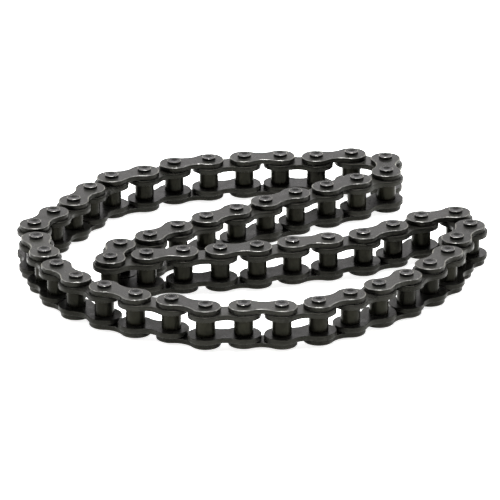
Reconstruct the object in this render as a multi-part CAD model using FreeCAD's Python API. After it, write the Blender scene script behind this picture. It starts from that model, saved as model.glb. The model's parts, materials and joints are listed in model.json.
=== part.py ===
import FreeCAD, Part
import math
import os
from FreeCAD import Vector

# Endless riveted chain of 6.35 mm pitch, rollerless: the bushes themselves run on the sprocket teeth.
# It lies flat in a loose coil of four strands, standing on the lower ends of its pins.
# Millimetres, +Z up along the pins. The origin is on the floor, under the middle of the coil.
# Link k joins pivot k to pivot k + 1. Odd links are outer links, even links are inner links.

# Driving dimensions
pitch = 6.35                # pin centre to pin centre
inner_width = 3.18          # between the inner plates, where the sprocket tooth goes
plate_thickness = 0.90
pin_diameter = 2.30
bush_diameter = 3.30        # the barrel that the sprocket sees
inner_end_gap = 0.35        # between neighbouring inner plates in a straight strand
outer_end_gap = 1.15        # between neighbouring outer plates in a straight strand
inner_waist_depth = 0.90    # how far each long side of an inner plate dips at the middle
outer_waist_depth = 0.88
head_height = 0.45          # the part of a pin that stands out of the outer plate
head_overhang = 0.06        # how far the riveted head spreads over its plate, each side
head_edge = 0.16            # bevel round the head
dimple_radius = 0.36        # the mark of the riveting tool
dimple_depth = 0.08
outer_rim = 0.17            # rounding of a plate's rim on the side that faces out
inner_rim = 0.08            # and on the side that faces in
bush_edge = 0.06            # bevel at a bush's ends

# Fits
pin_running_gap = 0.02      # pin in bush, on the radius
side_gap = 0.085            # outer plate to inner plate, each side
press_gap = 0.005           # a pressed joint drawn just clear, on the radius
fold_gap = 0.25             # between inner plates where the chain is folded as tight as it goes

# Sizes that follow from these
inner_plate_height = pitch - inner_end_gap
outer_plate_height = pitch - outer_end_gap
bush_bore = pin_diameter + 2 * pin_running_gap
bush_length = inner_width + 2 * plate_thickness
outer_width = bush_length + 2 * side_gap
pin_length = outer_width + 2 * plate_thickness + 2 * head_height
mid_height = pin_length / 2

# A pivot bends until the inner plates on its two sides meet end to end.
tightest_bend = 2 * math.degrees(math.acos((inner_plate_height + fold_gap) / 2 / pitch))

# How the chain lies: the bend at each pivot in turn, in degrees, left turns positive.
# It goes up the right-hand end, along the far strand to the left, round the left-hand turn,
# along the near strand to the right, round the right hairpin, back along the third strand,
# round the tight left hairpin and along the second strand to where it began.
first_heading = 90
upper_right_bend = [56, 70, 33, -14]
far_strand = [7, 7, 6, 19, -8, 29, 9, -5]
left_turn = [2, 35, 10, 7, 12, 18, 7, 15]
near_strand = [-7, 31, -5, 18, 18, 8, 2, 9, 10, 15, -7]
right_hairpin = [45, 89, 20]
third_strand = [-3, -17, -2, 3, -7, -2, 5, 4]
left_hairpin = [-tightest_bend, -36]
second_strand = [4, -2, -4, 3, -2, -4, 3, 2]
drawn_bends = (upper_right_bend + far_strand + left_turn + near_strand
               + right_hairpin + third_strand + left_hairpin + second_strand)
link_count = len(drawn_bends)
fold_pivot = 1 + drawn_bends.index(-tightest_bend)

# The loop is opened at this pivot so that it can be pulled out straight. Its pin belongs to the
# closing link, and only the two riveted ends of it are there, inside the outer plates.
opened_pivot = 15
closing_link = opened_pivot
last_link = opened_pivot - 1
middle_link = 41            # halfway round from the opened pivot: both halves are joined back to it


def walk(bends):
    """Pivot centres and link headings, with pivot 1 at the origin, and the end of the last link."""
    heading = math.radians(first_heading)
    spot = Vector(0, 0, 0)
    pivots, headings = [], []
    for following in bends[1:] + bends[:1]:
        pivots.append(spot)
        headings.append(heading)
        spot = spot + Vector(math.cos(heading), math.sin(heading), 0) * pitch
        heading += math.radians(following)
    return pivots, headings, spot


def closed(bends):
    """The bends changed as little as possible, all but the fold, so that the ends meet exactly."""
    bends = list(bends)
    for _ in range(12):
        pivots, _, end = walk(bends)
        miss = Vector(end.x / pitch, end.y / pitch, math.radians(sum(bends) - 360))
        # what a small change of each bend does to the end point and to the whole turn
        pulls = [Vector(-(end.y - p.y) / pitch, (end.x - p.x) / pitch, 1) for p in pivots]
        pulls[0] = Vector(0, 0, 1)
        pulls[fold_pivot - 1] = Vector(0, 0, 0)
        weights = FreeCAD.Matrix()
        weights.A = [sum(p[i] * p[j] for p in pulls) if max(i, j) < 3 else float(i == j)
                     for i in range(4) for j in range(4)]
        push = weights.inverse().multVec(miss)
        bends = [b - math.degrees(p.dot(push)) for b, p in zip(bends, pulls)]
    return bends


bends = closed(drawn_bends)
pivots, headings, _ = walk(bends)
shift = Vector(-(min(p.x for p in pivots) + max(p.x for p in pivots)) / 2,
               -(min(p.y for p in pivots) + max(p.y for p in pivots)) / 2, 0)
pivots = [p + shift for p in pivots]


def plate(height, waist_depth, hole_diameter, rim_below, rim_above):
    """A waisted link plate with its holes at x = 0 and x = pitch and its lower face at z = 0."""
    radius = height / 2
    half_waist = radius - waist_depth
    waist_radius = ((pitch / 2) ** 2 + half_waist ** 2 - radius ** 2) / (2 * waist_depth)
    lean = math.atan2(half_waist + waist_radius, pitch / 2)
    out, up = radius * math.cos(lean), radius * math.sin(lean)
    top_left, top_right = Vector(out, up, 0), Vector(pitch - out, up, 0)
    low_left, low_right = Vector(out, -up, 0), Vector(pitch - out, -up, 0)
    outline = Part.Wire([
        Part.Arc(top_left, Vector(-radius, 0, 0), low_left).toShape(),
        Part.Arc(low_left, Vector(pitch / 2, -half_waist, 0), low_right).toShape(),
        Part.Arc(low_right, Vector(pitch + radius, 0, 0), top_right).toShape(),
        Part.Arc(top_right, Vector(pitch / 2, half_waist, 0), top_left).toShape(),
    ])
    body = Part.Face(outline).extrude(Vector(0, 0, plate_thickness))
    for rim, level in ((rim_below, 0), (rim_above, plate_thickness)):
        edges = [e for e in body.Edges
                 if abs(e.BoundBox.ZMin - level) < 1e-6 and abs(e.BoundBox.ZMax - level) < 1e-6]
        body = body.makeFillet(rim, edges)
    for x in (0, pitch):
        hole = Part.makeCylinder(hole_diameter / 2, plate_thickness, Vector(x, 0, 0))
        body = body.cut(hole)
    return body.Solids[0]


def bush():
    """A bush with its lower end at z = 0, bevelled at the mouths of its bore."""
    tube = Part.makeCylinder(bush_diameter / 2, bush_length)
    tube = tube.cut(Part.makeCylinder(bush_bore / 2, bush_length))
    ends = [e for e in tube.Edges if len(e.Vertexes) == 1 and e.Curve.Radius < bush_diameter / 2 - 1e-6]
    return tube.makeChamfer(bush_edge, ends).Solids[0]


def pin_profile():
    """Half the outline of a riveted pin, from the middle of its lower end up to its mid height."""
    shank, head = pin_diameter / 2, pin_diameter / 2 + head_overhang
    return [(0, dimple_depth), (dimple_radius, 0), (head - head_edge, 0), (head, head_edge),
            (head, head_height), (shank, head_height), (shank, mid_height)]


def turned(corners):
    """A solid of revolution about Z from (radius, height) corners."""
    points = [Vector(r, 0, z) for r, z in corners]
    face = Part.Face(Part.makePolygon(points + points[:1]))
    return face.revolve(Vector(0, 0, 0), Vector(0, 0, 1), 360)


def pin():
    lower = pin_profile()
    upper = [(r, pin_length - z) for r, z in reversed(lower[:-1])]
    return turned(lower[:-1] + upper)


def lower_pin_end():
    """The riveted end of the closing pin, which stops level with its plate's inner face."""
    top = head_height + plate_thickness
    corners = pin_profile()
    return turned(corners[:-1] + [(corners[-1][0], top), (0, top)])


def raised(shape, z):
    moved = shape.copy()
    moved.translate(Vector(0, 0, z))
    return moved


def flipped(shape):
    """The same piece turned upside down about the chain's mid height."""
    return shape.mirror(Vector(0, 0, mid_height), Vector(0, 0, 1))


def along(shape, x):
    moved = shape.copy()
    moved.translate(Vector(x, 0, 0))
    return moved


# The pieces of a link, drawn with its first pivot at the origin and its second on +X
pin_hole = pin_diameter + 2 * press_gap
bush_hole = bush_diameter + 2 * press_gap
outer_plate = plate(outer_plate_height, outer_waist_depth, pin_hole, outer_rim, inner_rim)
inner_plate = plate(inner_plate_height, inner_waist_depth, bush_hole, outer_rim, inner_rim)
outer_lower = raised(outer_plate, head_height)
outer_upper = flipped(outer_lower)
bush_level = mid_height - bush_length / 2
inner_lower = raised(inner_plate, bush_level)
inner_upper = flipped(inner_lower)
first_bush = raised(bush(), bush_level)
second_bush = along(first_bush, pitch)
first_pin = pin()
second_pin = along(first_pin, pitch)
first_pin_lower_end = lower_pin_end()
first_pin_upper_end = flipped(first_pin_lower_end)


def pieces_of(link):
    """Node name to the solids of that node, for one link."""
    number = f"{link:02d}"
    if link == closing_link:
        return {
            "closing_link_lower_plate": [outer_lower],
            "closing_link_upper_plate": [outer_upper],
            "closing_link_pin": [second_pin],
            "closing_link_opened_pin_ends": [first_pin_lower_end, first_pin_upper_end],
        }
    if link == last_link:
        return {
            "last_inner_link_lower_plate": [inner_lower],
            "last_inner_link_upper_plate": [inner_upper],
            "last_inner_link_first_bush": [first_bush],
            "last_inner_link_second_bush": [second_bush],
        }
    if link == middle_link:
        return {
            "middle_link_lower_plate": [outer_lower],
            "middle_link_upper_plate": [outer_upper],
            "middle_link_pins": [first_pin, second_pin],
        }
    if link % 2:
        return {f"outer_link_{number}": [outer_lower, outer_upper, first_pin, second_pin]}
    return {f"inner_link_{number}": [inner_lower, inner_upper, first_bush, second_bush]}


def laid(shape, link):
    """A piece of a link, put where that link lies in the coil."""
    turn = FreeCAD.Rotation(Vector(0, 0, 1), math.degrees(headings[link - 1]))
    moved = shape.copy()
    moved.Placement = FreeCAD.Placement(pivots[link - 1], turn).multiply(moved.Placement)
    return moved


os.makedirs("parts", exist_ok=True)
for link in range(1, link_count + 1):
    for node, solids in pieces_of(link).items():
        Part.makeCompound([laid(s, link) for s in solids]).exportStep(f"parts/{node}.step")
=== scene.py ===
import bpy
import bmesh
import json
import math
import random
from mathutils import Matrix, Vector

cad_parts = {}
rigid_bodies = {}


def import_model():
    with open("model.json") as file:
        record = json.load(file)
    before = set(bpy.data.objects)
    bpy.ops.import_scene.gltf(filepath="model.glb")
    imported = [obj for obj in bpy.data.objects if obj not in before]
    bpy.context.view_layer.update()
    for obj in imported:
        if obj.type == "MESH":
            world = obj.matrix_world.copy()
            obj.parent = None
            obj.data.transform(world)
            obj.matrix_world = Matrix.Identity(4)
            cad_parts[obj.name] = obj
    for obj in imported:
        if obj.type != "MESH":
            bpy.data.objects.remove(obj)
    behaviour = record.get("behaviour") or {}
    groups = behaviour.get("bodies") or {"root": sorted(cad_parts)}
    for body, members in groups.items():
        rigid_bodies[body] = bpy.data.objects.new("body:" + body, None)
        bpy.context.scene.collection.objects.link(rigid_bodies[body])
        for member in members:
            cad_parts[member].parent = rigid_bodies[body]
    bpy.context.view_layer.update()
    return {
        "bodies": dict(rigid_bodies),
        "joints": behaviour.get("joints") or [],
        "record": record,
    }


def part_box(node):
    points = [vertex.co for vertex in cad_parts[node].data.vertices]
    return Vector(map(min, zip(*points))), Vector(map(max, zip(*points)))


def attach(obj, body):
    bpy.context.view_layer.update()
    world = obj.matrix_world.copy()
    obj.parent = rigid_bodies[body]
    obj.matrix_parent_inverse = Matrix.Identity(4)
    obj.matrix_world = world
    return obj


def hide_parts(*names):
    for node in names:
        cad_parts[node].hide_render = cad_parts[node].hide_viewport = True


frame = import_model()
mm = 0.001
turn = 2 * math.pi

# Places and sizes read from the frame

pivots = {int(joint["name"][-2:]): Vector(joint["pos_m"]) for joint in frame["joints"]}
linkCount = len(frame["bodies"])
openedPivot = next(n for n in range(1, linkCount + 1) if n not in pivots)
lowest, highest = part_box("closing_link_opened_pin_ends")
pivots[openedPivot] = (lowest + highest) / 2
midHeight = pivots[1].z
pitch = (pivots[2] - pivots[1]).length

linkBodies = {int(name[-2:]): name for name in frame["bodies"] if name[-2:].isdigit()}
linkBodies[openedPivot] = "closing_link"
linkBodies[openedPivot - 1] = "last_inner_link"
linkBodies[next(n for n in pivots if n not in linkBodies)] = "middle_link"
nodesOf = frame["record"]["behaviour"]["bodies"]


def nextPivot(link):
    return pivots[link % linkCount + 1]


def extent(node):
    low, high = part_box(node)
    return high - low


def endRadius(plateNode, link):
    # a plate's box is as long as its two round ends and the run between its pivots
    return (extent(plateNode).x - abs(nextPivot(link).x - pivots[link].x)) / 2


def innerFace(lowerPlateNode):
    # how far a plate's inner face is from the chain's middle plane
    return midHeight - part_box(lowerPlateNode)[1].z


plateThickness = extent("closing_link_lower_plate").z
pinLength = extent("closing_link_pin").z
pinHeadRadius = extent("closing_link_pin").x / 2
bushRadius = extent("last_inner_link_first_bush").x / 2
bushLength = extent("last_inner_link_first_bush").z

print(f"frame: {linkCount} links, opened at pivot {openedPivot}, pitch {pitch / mm:.2f} mm")


# Camera, floor and light

view = dict(
    aim=(-0.39 * mm, -1.86 * mm, midHeight),
    distance=1.048,
    azimuth=-0.30,              # degrees, turned about the upright through the aim
    elevation=22.25,
    roll=0.11,
    lens=441.6,                 # millimetres, like the sensor's width
    sensor=36,
    clipEnd=50,
)


def addCamera(view):
    camera = bpy.data.objects.new("camera", bpy.data.cameras.new("camera"))
    bpy.context.scene.collection.objects.link(camera)
    camera.data.lens = view["lens"]
    camera.data.sensor_width = view["sensor"]
    camera.data.clip_end = view["clipEnd"]
    camera.matrix_world = (
        Matrix.Translation(view["aim"])
        @ Matrix.Rotation(math.radians(view["azimuth"]), 4, "Z")
        @ Matrix.Rotation(math.radians(90 - view["elevation"]), 4, "X")
        @ Matrix.Translation((0, 0, view["distance"]))
        @ Matrix.Rotation(math.radians(view["roll"]), 4, "Z"))
    bpy.context.scene.camera = camera


studio = dict(
    floorSide=6.0,
    floorColour=(0.88, 0.88, 0.875, 1),
    floorGlow=1.00,             # lifts the shadows, as a lit table does
    skyStrength=2.9,
    # how bright the sky is from the near side, over the top, to the far side
    sky=((0.0, 0.01), (0.35, 0.05), (0.58, 0.22), (0.85, 0.50), (1.0, (0.99, 0.96, 1.0, 1))),
    # name: place, side, power
    softboxes={
        "overhead": ((0.0, 0.05, 0.80), 0.30, 14.0),
        "left": ((-0.85, -0.10, 0.40), 0.16, 2.2),
        "right": ((0.80, -0.05, 0.36), 0.14, 1.8),
    },
)


# Shader maths: a wrapped socket takes part in ordinary expressions

class Wire:
    def __init__(self, shader, socket):
        self.shader = shader
        self.socket = socket

    def maths(self, operation, first, second):
        return self.shader.node("Math", {"operation": operation}, {0: first, 1: second})

    def __add__(self, other):
        return self.maths("ADD", self, other)

    def __sub__(self, other):
        return self.maths("SUBTRACT", self, other)

    def __rsub__(self, other):
        return self.maths("SUBTRACT", other, self)

    def __mul__(self, other):
        return self.maths("MULTIPLY", self, other)

    __radd__ = __add__
    __rmul__ = __mul__


def setStops(rampNode, stops):
    # each stop is a place along the ramp and a colour, or a number for a grey
    elements = rampNode.color_ramp.elements
    while len(elements) < len(stops):
        elements.new(1)
    for element, (place, shade) in zip(elements, stops):
        element.position = place
        element.color = shade if isinstance(shade, tuple) else (shade, shade, shade, 1)


class Shader:
    def __init__(self, owner):
        self.owner = owner
        owner.use_nodes = True
        self.tree = owner.node_tree
        self.tree.nodes.clear()

    def node(self, kind, settings=None, sockets=None, out=0):
        made = self.tree.nodes.new("ShaderNode" + kind)
        for key, value in (settings or {}).items():
            if key == "stops":
                setStops(made, value)
            else:
                setattr(made, key, value)
        for key, value in (sockets or {}).items():
            if isinstance(value, Wire):
                self.tree.links.new(value.socket, made.inputs[key])
            else:
                made.inputs[key].default_value = value
        return Wire(self, made.outputs[out]) if made.outputs else None

    def attribute(self, name):
        return self.node("Attribute", {"attribute_name": name}, out="Fac")

    def place(self, stretch):
        # the point on the piece in millimetres, stretched along an axis
        spot = self.node("TexCoord", out="Object")
        scale = tuple(s / mm for s in stretch)
        return self.node("VectorMath", {"operation": "MULTIPLY"}, {0: spot, 1: scale})

    def noise(self, perMillimetre, detail, stretch=(1, 1, 1), roughness=0.5):
        return self.node("TexNoise", None, {"Vector": self.place(stretch), "Scale": perMillimetre,
                                            "Detail": detail, "Roughness": roughness})

    def steps(self, value, *stops):
        return self.node("ValToRGB", {"stops": stops}, {"Fac": value})

    def mixed(self, mask, first, second):
        return self.node("Mix", {"data_type": "RGBA"}, {0: mask, 6: first, 7: second}, out=2)

    def bump(self, height, distance, strength=0.55):
        return self.node("Bump", None, {"Height": height, "Strength": strength,
                                        "Distance": distance}, out="Normal")

    def surface(self, **sockets):
        # a socket's name is written with an underscore for each of its spaces
        named = {name.replace("_", " "): value for name, value in sockets.items()}
        principled = self.node("BsdfPrincipled", None, named, out="BSDF")
        self.node("OutputMaterial", None, {"Surface": principled})
        return self.owner


def addFloor(studio):
    half = studio["floorSide"] / 2
    mesh = bpy.data.meshes.new("floor")
    mesh.from_pydata([(-half, -half, 0), (half, -half, 0), (half, half, 0), (-half, half, 0)],
                     [], [(0, 1, 2, 3)])
    floor = bpy.data.objects.new("floor", mesh)
    bpy.context.scene.collection.objects.link(floor)
    paper = Shader(bpy.data.materials.new("paper"))
    mesh.materials.append(paper.surface(
        Base_Color=studio["floorColour"], Roughness=0.9,
        Emission_Color=studio["floorColour"], Emission_Strength=studio["floorGlow"]))


def addSky(studio):
    world = bpy.data.worlds.new("studio")
    bpy.context.scene.world = world
    sky = Shader(world)
    direction = sky.node("TexCoord", out="Generated")
    farness = sky.node("SeparateXYZ", None, {0: direction}, out="Y") * 0.5 + 0.5
    background = sky.node("Background", None, {"Color": sky.steps(farness, *studio["sky"]),
                                               "Strength": studio["skyStrength"]})
    sky.node("OutputWorld", None, {"Surface": background})


def addSoftboxes(studio):
    for name, (place, side, power) in studio["softboxes"].items():
        light = bpy.data.objects.new(name, bpy.data.lights.new(name, "AREA"))
        light.data.size = side
        light.data.energy = power
        light.location = place
        light.rotation_euler = (-Vector(place)).to_track_quat("-Z", "Y").to_euler()
        bpy.context.scene.collection.objects.link(light)


addCamera(view)
addFloor(studio)
addSky(studio)
addSoftboxes(studio)
bpy.context.scene.view_settings.view_transform = "Standard"
print("camera, floor and light are set")


# Finishes: black oxide, lightly oiled, rubbed towards bare steel on the rims, where the bare
# colour also stands in as painted highlights

def oxideColour(finish, look, cloud, fullAt):
    # oil darkens the oxide in clouds, and each link is a little lighter or darker than the next
    film = finish.steps(cloud + finish.attribute("tone") * 0.4, (0.35, 0), (fullAt, 1))
    return finish.mixed(film, look["oiled"], look["oxide"])


oxidePlate = dict(
    oiled=(0.006, 0.006, 0.0052, 1),
    oxide=(0.019, 0.0188, 0.0165, 1),
    # bare steel, which the rims also take as a painted highlight
    bare=(0.21, 0.207, 0.198, 1),
    scuffed=(0.10, 0.097, 0.098, 1),
    cast=(1.0, 0.99, 0.80, 1),      # tints what it mirrors where it is seen straight on
    ior=1.17,
    roughness=0.34,
    metallic=0.03,
    grain=0.025 * mm,
)


def plateFinish(look):
    finish = Shader(bpy.data.materials.new("oxidePlate"))
    wear = finish.attribute("wear")
    cloud = finish.noise(0.55, 4, roughness=0.6)
    speck = finish.noise(2.6, 6, roughness=0.75)
    # patchy rubbing to bare steel on the rims, which also paints the rims' highlight lines
    rubAndSheen = finish.noise(1.7, 3)
    rubbedAndSheen = finish.steps(wear * 0.9 + rubAndSheen * 0.6 - 0.35, (0.30, 0), (0.75, 1))
    scuff = finish.steps(speck, (0.58, 0), (0.72, 1))
    colour = oxideColour(finish, look, cloud, 0.80)
    colour = finish.mixed(rubbedAndSheen * 0.8, colour, look["bare"])
    colour = finish.mixed(scuff * 0.25, colour, look["scuffed"])
    uneven = (cloud - 0.5) * 0.45 + (speck - 0.5) * 0.55
    return finish.surface(
        Base_Color=colour,
        Metallic=look["metallic"] + rubbedAndSheen * 0.55,
        Roughness=look["roughness"] + uneven - rubbedAndSheen * 0.14,
        IOR=look["ior"],
        Specular_Tint=look["cast"],
        Normal=finish.bump(speck * 0.8 + cloud, look["grain"]),
    )


oilyBush = dict(
    oiled=(0.004, 0.004, 0.0034, 1),
    oxide=(0.013, 0.0127, 0.0090, 1),
    bare=(0.050, 0.049, 0.040, 1),
    cast=(1.0, 0.99, 0.76, 1),
    ior=1.135,
    roughness=0.20,
    metallic=0.03,
    grain=0.010 * mm,
)


def bushFinish(look):
    finish = Shader(bpy.data.materials.new("oilyBush"))
    wear = finish.attribute("wear")
    cloud = finish.noise(0.6, 3)
    drawn = finish.noise(3.0, 3, stretch=(1, 1, 0.08))     # drawing marks along the axis
    speck = finish.noise(6.5, 3)
    colour = oxideColour(finish, look, cloud, 0.80)
    colour = finish.mixed(wear * 0.15, colour, look["bare"])
    return finish.surface(
        Base_Color=colour,
        Metallic=look["metallic"],
        Roughness=look["roughness"] + (drawn - 0.5) * 0.40 + (speck - 0.5) * 0.12,
        IOR=look["ior"],
        Specular_Tint=look["cast"],
        Normal=finish.bump(drawn + speck * 0.2, look["grain"]),
    )


rivetedPin = dict(
    oiled=(0.005, 0.005, 0.005, 1),
    oxide=(0.017, 0.0166, 0.0172, 1),
    # bare steel, which the head's rim also takes as a painted highlight
    bare=(0.30, 0.295, 0.28, 1),
    cast=(1.0, 0.99, 0.85, 1),
    ior=1.15,
    roughness=0.32,
    metallic=0.03,
    grain=0.03 * mm,
)


def pinFinish(look):
    finish = Shader(bpy.data.materials.new("rivetedPin"))
    wear = finish.attribute("wear")
    cloud = finish.noise(0.9, 3)
    dent = finish.noise(3.2, 3, roughness=0.6)
    # rubbed bare steel on the crown's edge, which also paints the head's bright rim highlight
    rubbedAndSheen = finish.steps(wear * 0.9 + dent * 0.7 - 0.4, (0.30, 0), (0.80, 1))
    colour = oxideColour(finish, look, cloud, 0.85)
    colour = finish.mixed(rubbedAndSheen * 0.8, colour, look["bare"])
    return finish.surface(
        Base_Color=colour,
        Metallic=look["metallic"] + rubbedAndSheen * 0.70,
        Roughness=look["roughness"] + (dent - 0.5) * 0.40 - rubbedAndSheen * 0.10,
        IOR=look["ior"],
        Specular_Tint=look["cast"],
        Normal=finish.bump(dent, look["grain"]),
    )


finishes = [plateFinish(oxidePlate), bushFinish(oilyBush), pinFinish(rivetedPin)]
plateSteel, bushSteel, pinSteel = range(3)
print(f"finishes: {len(finishes)}")


# Link pieces, each with its first pivot at the origin and its second on +X, and z = 0 halfway up

sharpAngle = math.radians(40)   # edges bent more than this look sharp


class LinkMesh:
    def __init__(self, seed):
        self.random = random.Random(seed)
        self.tone = self.random.uniform(-0.5, 0.5)
        self.points, self.faces, self.paints, self.wears = [], [], [], []

    def ring(self, spots, wear):
        first = len(self.points)
        self.points += spots
        self.wears += [wear] * len(spots)
        return list(range(first, len(self.points)))

    def face(self, corners, paint):
        self.faces.append(tuple(corners))
        self.paints.append(paint)

    def band(self, first, second, paint):
        for i in range(len(first)):
            j = (i + 1) % len(first)
            self.face((first[i], first[j], second[j], second[i]), paint)

    def made(self, name, placed):
        # the finished mesh, laid where its link lies in the coil
        mesh = bpy.data.meshes.new(name)
        mesh.from_pydata(self.points, [], self.faces)
        mesh.attributes.new("wear", "FLOAT", "POINT").data.foreach_set("value", self.wears)
        mesh.attributes.new("tone", "FLOAT", "POINT").data.foreach_set(
            "value", [self.tone] * len(self.points))
        for finish in finishes:
            mesh.materials.append(finish)
        mesh.polygons.foreach_set("material_index", self.paints)
        shells = bmesh.new()
        shells.from_mesh(mesh)
        bmesh.ops.recalc_face_normals(shells, faces=shells.faces)
        shells.to_mesh(mesh)
        shells.free()
        mesh.shade_smooth()
        mesh.set_sharp_from_angle(angle=sharpAngle)
        mesh.transform(placed)
        return mesh


fit = dict(
    pinShank=1.15 * mm,
    pressGap=0.005 * mm,        # a pressed joint is drawn just clear, on the radius
)
plate = dict(
    outerRim=0.17 * mm,         # the punch rolls the rim over on the side that faces out
    innerRim=0.08 * mm,
    tornDepth=0.016 * mm,       # the torn half of the blanked edge, next to the inner side
    tornShare=0.45,
    tornStep=0.04 * mm,
    hold=0.03 * mm,             # a narrow flat strip that keeps the faces flat up to the rim
    rimSteps=6,
    endSteps=30,
    waistSteps=12,
    holeSteps=36,
)
outerPlate = dict(
    radius=endRadius("closing_link_lower_plate", openedPivot),
    waist=0.88 * mm,            # how far each long side dips at the middle
    hole=fit["pinShank"] + fit["pressGap"],
    face=innerFace("closing_link_lower_plate"),
    rubAndSheen=0.9,                    # the share of its rims' wear and painted highlight that shows
)
innerPlate = dict(
    radius=endRadius("last_inner_link_lower_plate", openedPivot - 1),
    waist=0.90 * mm,
    hole=bushRadius + fit["pressGap"],
    face=innerFace("last_inner_link_lower_plate"),
    # the inner plates' rims get a fainter painted highlight
    rubAndSheen=0.35,
)


def arcPoints(centre, radius, start, stop, steps):
    angles = [start + (stop - start) * i / steps for i in range(steps)]
    return [(centre[0] + radius * math.cos(a), centre[1] + radius * math.sin(a)) for a in angles]


def plateOutline(kind, inset):
    # round ends joined by hollow waist arcs that touch them smoothly
    half = kind["radius"] - kind["waist"]
    waistRadius = ((pitch / 2) ** 2 + half ** 2 - kind["radius"] ** 2) / (2 * kind["waist"])
    rise = half + waistRadius
    lean = math.atan2(rise, pitch / 2)
    end, waist = kind["radius"] - inset, waistRadius + inset
    return (arcPoints((pitch, 0), end, lean - math.pi, math.pi - lean, plate["endSteps"])
            + arcPoints((pitch / 2, rise), waist, -lean, lean - math.pi, plate["waistSteps"])
            + arcPoints((0, 0), end, lean, turn - lean, plate["endSteps"])
            + arcPoints((pitch / 2, -rise), waist, math.pi - lean, lean, plate["waistSteps"]))


def plateEdge():
    # inset, height over the inner face and wear, from the inner face round to the outer face; the
    # wear peaks halfway round each rim, where it also paints the rim's highlight
    inner, outer, hold = plate["innerRim"], plate["outerRim"], plate["hold"]
    steps = plate["rimSteps"]
    land = plateThickness - inner - outer
    tornTop = inner + land * plate["tornShare"]
    edge = [(inner + hold, 0, 0)]
    for i in range(steps + 1):
        a = math.pi / 2 * i / steps
        edge.append((inner * (1 - math.sin(a)) + plate["tornDepth"] * i / steps,
                     inner * (1 - math.cos(a)), 0.55 * math.sin(2 * a) + 0.1))
    edge += [(plate["tornDepth"], tornTop - plate["tornStep"], 0.0), (0, tornTop, 0.35)]
    for i in range(steps + 1):
        a = math.pi / 2 * i / steps
        edge.append((outer * (1 - math.cos(a)), plateThickness - outer * (1 - math.sin(a)),
                     0.25 + 0.75 * math.sin(2 * a)))
    edge.append((outer + hold, plateThickness, 0.12))
    return edge


def holeOutline(kind, x):
    return arcPoints((x, 0), kind["hole"], 0, turn, plate["holeSteps"])


def flatTriangles(kind, inset):
    # a plate's flat face between its outline and its two holes
    flat = bmesh.new()
    for loop in (plateOutline(kind, inset), holeOutline(kind, 0), holeOutline(kind, pitch)):
        corners = [flat.verts.new((x / mm, y / mm, 0)) for x, y in loop]
        for i, corner in enumerate(corners):
            flat.edges.new((corner, corners[(i + 1) % len(corners)]))
    flat.verts.index_update()
    bmesh.ops.triangle_fill(flat, edges=flat.edges[:], use_beauty=True, use_dissolve=False)
    triangles = [[corner.index for corner in face.verts] for face in flat.faces]
    flat.free()
    return triangles


for kind in (outerPlate, innerPlate):
    kind["edge"] = plateEdge()
    kind["flats"] = [flatTriangles(kind, kind["edge"][i][0]) for i in (0, -1)]


def addPlate(link, kind, side):
    # side is +1 for the upper plate and -1 for the lower one
    def level(height):
        return side * (kind["face"] + height)

    rings = []
    for inset, height, wear in kind["edge"]:
        spots = [(x, y, level(height)) for x, y in plateOutline(kind, inset)]
        rings.append(link.ring(spots, wear * kind["rubAndSheen"]))
    for first, second in zip(rings, rings[1:]):
        link.band(first, second, plateSteel)
    mouths = []
    for ring, height, triangles in ((rings[0], 0, kind["flats"][0]),
                                    (rings[-1], plateThickness, kind["flats"][1])):
        holes = [link.ring([(a, b, level(height)) for a, b in holeOutline(kind, x)], 0.1)
                 for x in (0, pitch)]
        corners = ring + holes[0] + holes[1]
        for triangle in triangles:
            link.face([corners[i] for i in triangle], plateSteel)
        mouths.append(holes)
    for lower, upper in zip(*mouths):
        link.band(lower, upper, plateSteel)


pin = dict(
    crown=0.04 * mm,            # how much narrower the riveted end is than the head's foot
    crownEdge=0.07 * mm,
    dish=0.70 * mm,             # the riveting tool hollows the end a little
    dishDepth=0.14 * mm,
    dishShift=0.10 * mm,        # and never strikes quite in the middle
    dishLip=0.05 * mm,
    footEdge=0.01 * mm,
    uneven=(0.004, 0.012),      # share of the radius, least and most
    steps=40,
)


def headProfile():
    # radius, depth below the pin's end and wear, from the middle of the end to the plate; the wear
    # on the crown's edge also paints the head's rim highlight
    foot, dish, deep = pinHeadRadius, pin["dish"], pin["dishDepth"]
    rim, edge = pinHeadRadius - pin["crown"], pin["crownEdge"]
    depth = pinLength / 2 - outerPlate["face"] - plateThickness
    profile = [(dish * r, deep * (1 - r ** 2), 0.05 + 0.2 * r) for r in (0.2, 0.4, 0.6, 0.8)]
    profile += [(dish, deep * 0.08, 0.45), (dish + pin["dishLip"], 0, 0.3),
                (rim - edge * 1.2, 0, 0.3)]
    for i, wear in enumerate((0.9, 1.0, 0.5, 0.0)):
        a = math.pi / 2 * i / 3
        profile.append((rim - edge * (1 - math.sin(a)), edge * (1 - math.cos(a)), wear))
    # the side falls steeply, then flares out onto the plate
    for share in (0.2, 0.4, 0.6, 0.8, 0.93):
        flare = 0.25 * share + 0.75 * share ** 6
        profile.append((rim + (foot - rim) * flare, edge + (depth - edge) * share, 0.0))
    profile += [(foot, depth - pin["footEdge"], 0.1), (foot, depth, 0.0)]
    return profile


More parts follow.
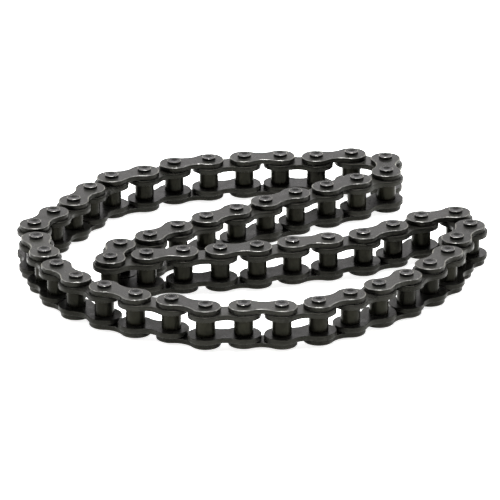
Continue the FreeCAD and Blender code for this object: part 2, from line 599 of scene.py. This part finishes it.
def addHead(link, x, side, angle):
    # a riveted head, with its rim and dimple a little uneven; returns its last ring
    slip = Vector((math.cos(angle), math.sin(angle))) * pin["dishShift"] * link.random.random()
    lobes = link.random.uniform(*pin["uneven"])
    rings = []
    for radius, depth, wear in headProfile():
        near = max(0, 1 - radius / pinHeadRadius)
        z = side * (pinLength / 2 - depth)
        spots = []
        for i in range(pin["steps"]):
            a = turn * i / pin["steps"]
            r = radius * (1 + lobes * math.sin(3 * a + angle) + lobes * 0.6 * math.sin(5 * a))
            r = min(r, pinHeadRadius)
            spots.append((x + r * math.cos(a) + slip.x * near, r * math.sin(a) + slip.y * near, z))
        rings.append(link.ring(spots, wear))
    tip = link.ring([(x + slip.x, slip.y, side * (pinLength / 2 - pin["dishDepth"]))], 0.15)[0]
    for i in range(pin["steps"]):
        link.face((tip, rings[0][i], rings[0][(i + 1) % pin["steps"]]), pinSteel)
    for first, second in zip(rings, rings[1:]):
        link.band(first, second, pinSteel)
    return rings[-1]


def shankRing(link, x, z):
    circle = arcPoints((x, 0), fit["pinShank"], 0, turn, pin["steps"])
    return link.ring([(a, b, z) for a, b in circle], 0)


def addPin(link, x):
    shoulder = outerPlate["face"] + plateThickness
    rings = [addHead(link, x, 1, link.random.uniform(0, turn)), shankRing(link, x, shoulder),
             shankRing(link, x, -shoulder), addHead(link, x, -1, link.random.uniform(0, turn))]
    for first, second in zip(rings, rings[1:]):
        link.band(first, second, pinSteel)


def addPinEnds(link, x):
    # the opened pivot's pin: its two riveted ends, each as deep as its plate
    for side in (1, -1):
        head = addHead(link, x, side, link.random.uniform(0, turn))
        shoulder = shankRing(link, x, side * (outerPlate["face"] + plateThickness))
        stop = shankRing(link, x, side * outerPlate["face"])
        link.band(head, shoulder, pinSteel)
        link.band(shoulder, stop, pinSteel)
        link.face(stop, pinSteel)


bush = dict(
    bore=1.17 * mm,
    edge=0.06 * mm,             # bevel at the mouths of the bore
    corner=0.02 * mm,           # and round the outside of the ends
    steps=56,
)


def addBush(link, x):
    # radius, height and wear, down the outside and up through the bore
    half, bore, edge, corner = bushLength / 2, bush["bore"], bush["edge"], bush["corner"]
    wall = [(bushRadius - corner, half, 0.4), (bushRadius, half - corner, 0.4)]
    wall += [(bushRadius, innerPlate["face"] * share, wear)
             for share, wear in ((1, 0), (0.92, 0), (0.75, 0.1), (0.4, 0.25), (0, 0.3))]
    outside = wall + [(r, -z, wear) for r, z, wear in reversed(wall[:-1])]
    inside = [(bore + edge, -half, 0.4), (bore, edge - half, 0.2),
              (bore, half - edge, 0.2), (bore + edge, half, 0.4)]
    rings = []
    for radius, height, wear in outside + inside:
        circle = arcPoints((x, 0), radius, 0, turn, bush["steps"])
        rings.append(link.ring([(a, b, height) for a, b in circle], wear))
    for first, second in zip(rings, rings[1:] + rings[:1]):
        link.band(first, second, bushSteel)


def addLink(number):
    body = linkBodies[number]
    link = LinkMesh(number)
    isOuter = number % 2 == 1
    kind = outerPlate if isOuter else innerPlate
    for side in (1, -1):
        addPlate(link, kind, side)
    for x in (0, pitch):
        if not isOuter:
            addBush(link, x)
        elif number == openedPivot and x == 0:
            addPinEnds(link, x)
        else:
            addPin(link, x)
    along = nextPivot(number) - pivots[number]
    placed = (Matrix.Translation(pivots[number])
              @ Matrix.Rotation(math.atan2(along.y, along.x), 4, "Z"))
    name = f"link{number:02d}_{'outer' if isOuter else 'inner'}"
    piece = bpy.data.objects.new(name, link.made(name, placed))
    bpy.context.scene.collection.objects.link(piece)
    nodes = nodesOf[body]
    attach(piece, body)
    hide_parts(*nodes)
    return piece


pieces = [addLink(number) for number in range(1, linkCount + 1)]
print(f"links: {len(pieces)} pieces, {sum(len(p.data.polygons) for p in pieces)} faces")

bpy.context.view_layer.update()
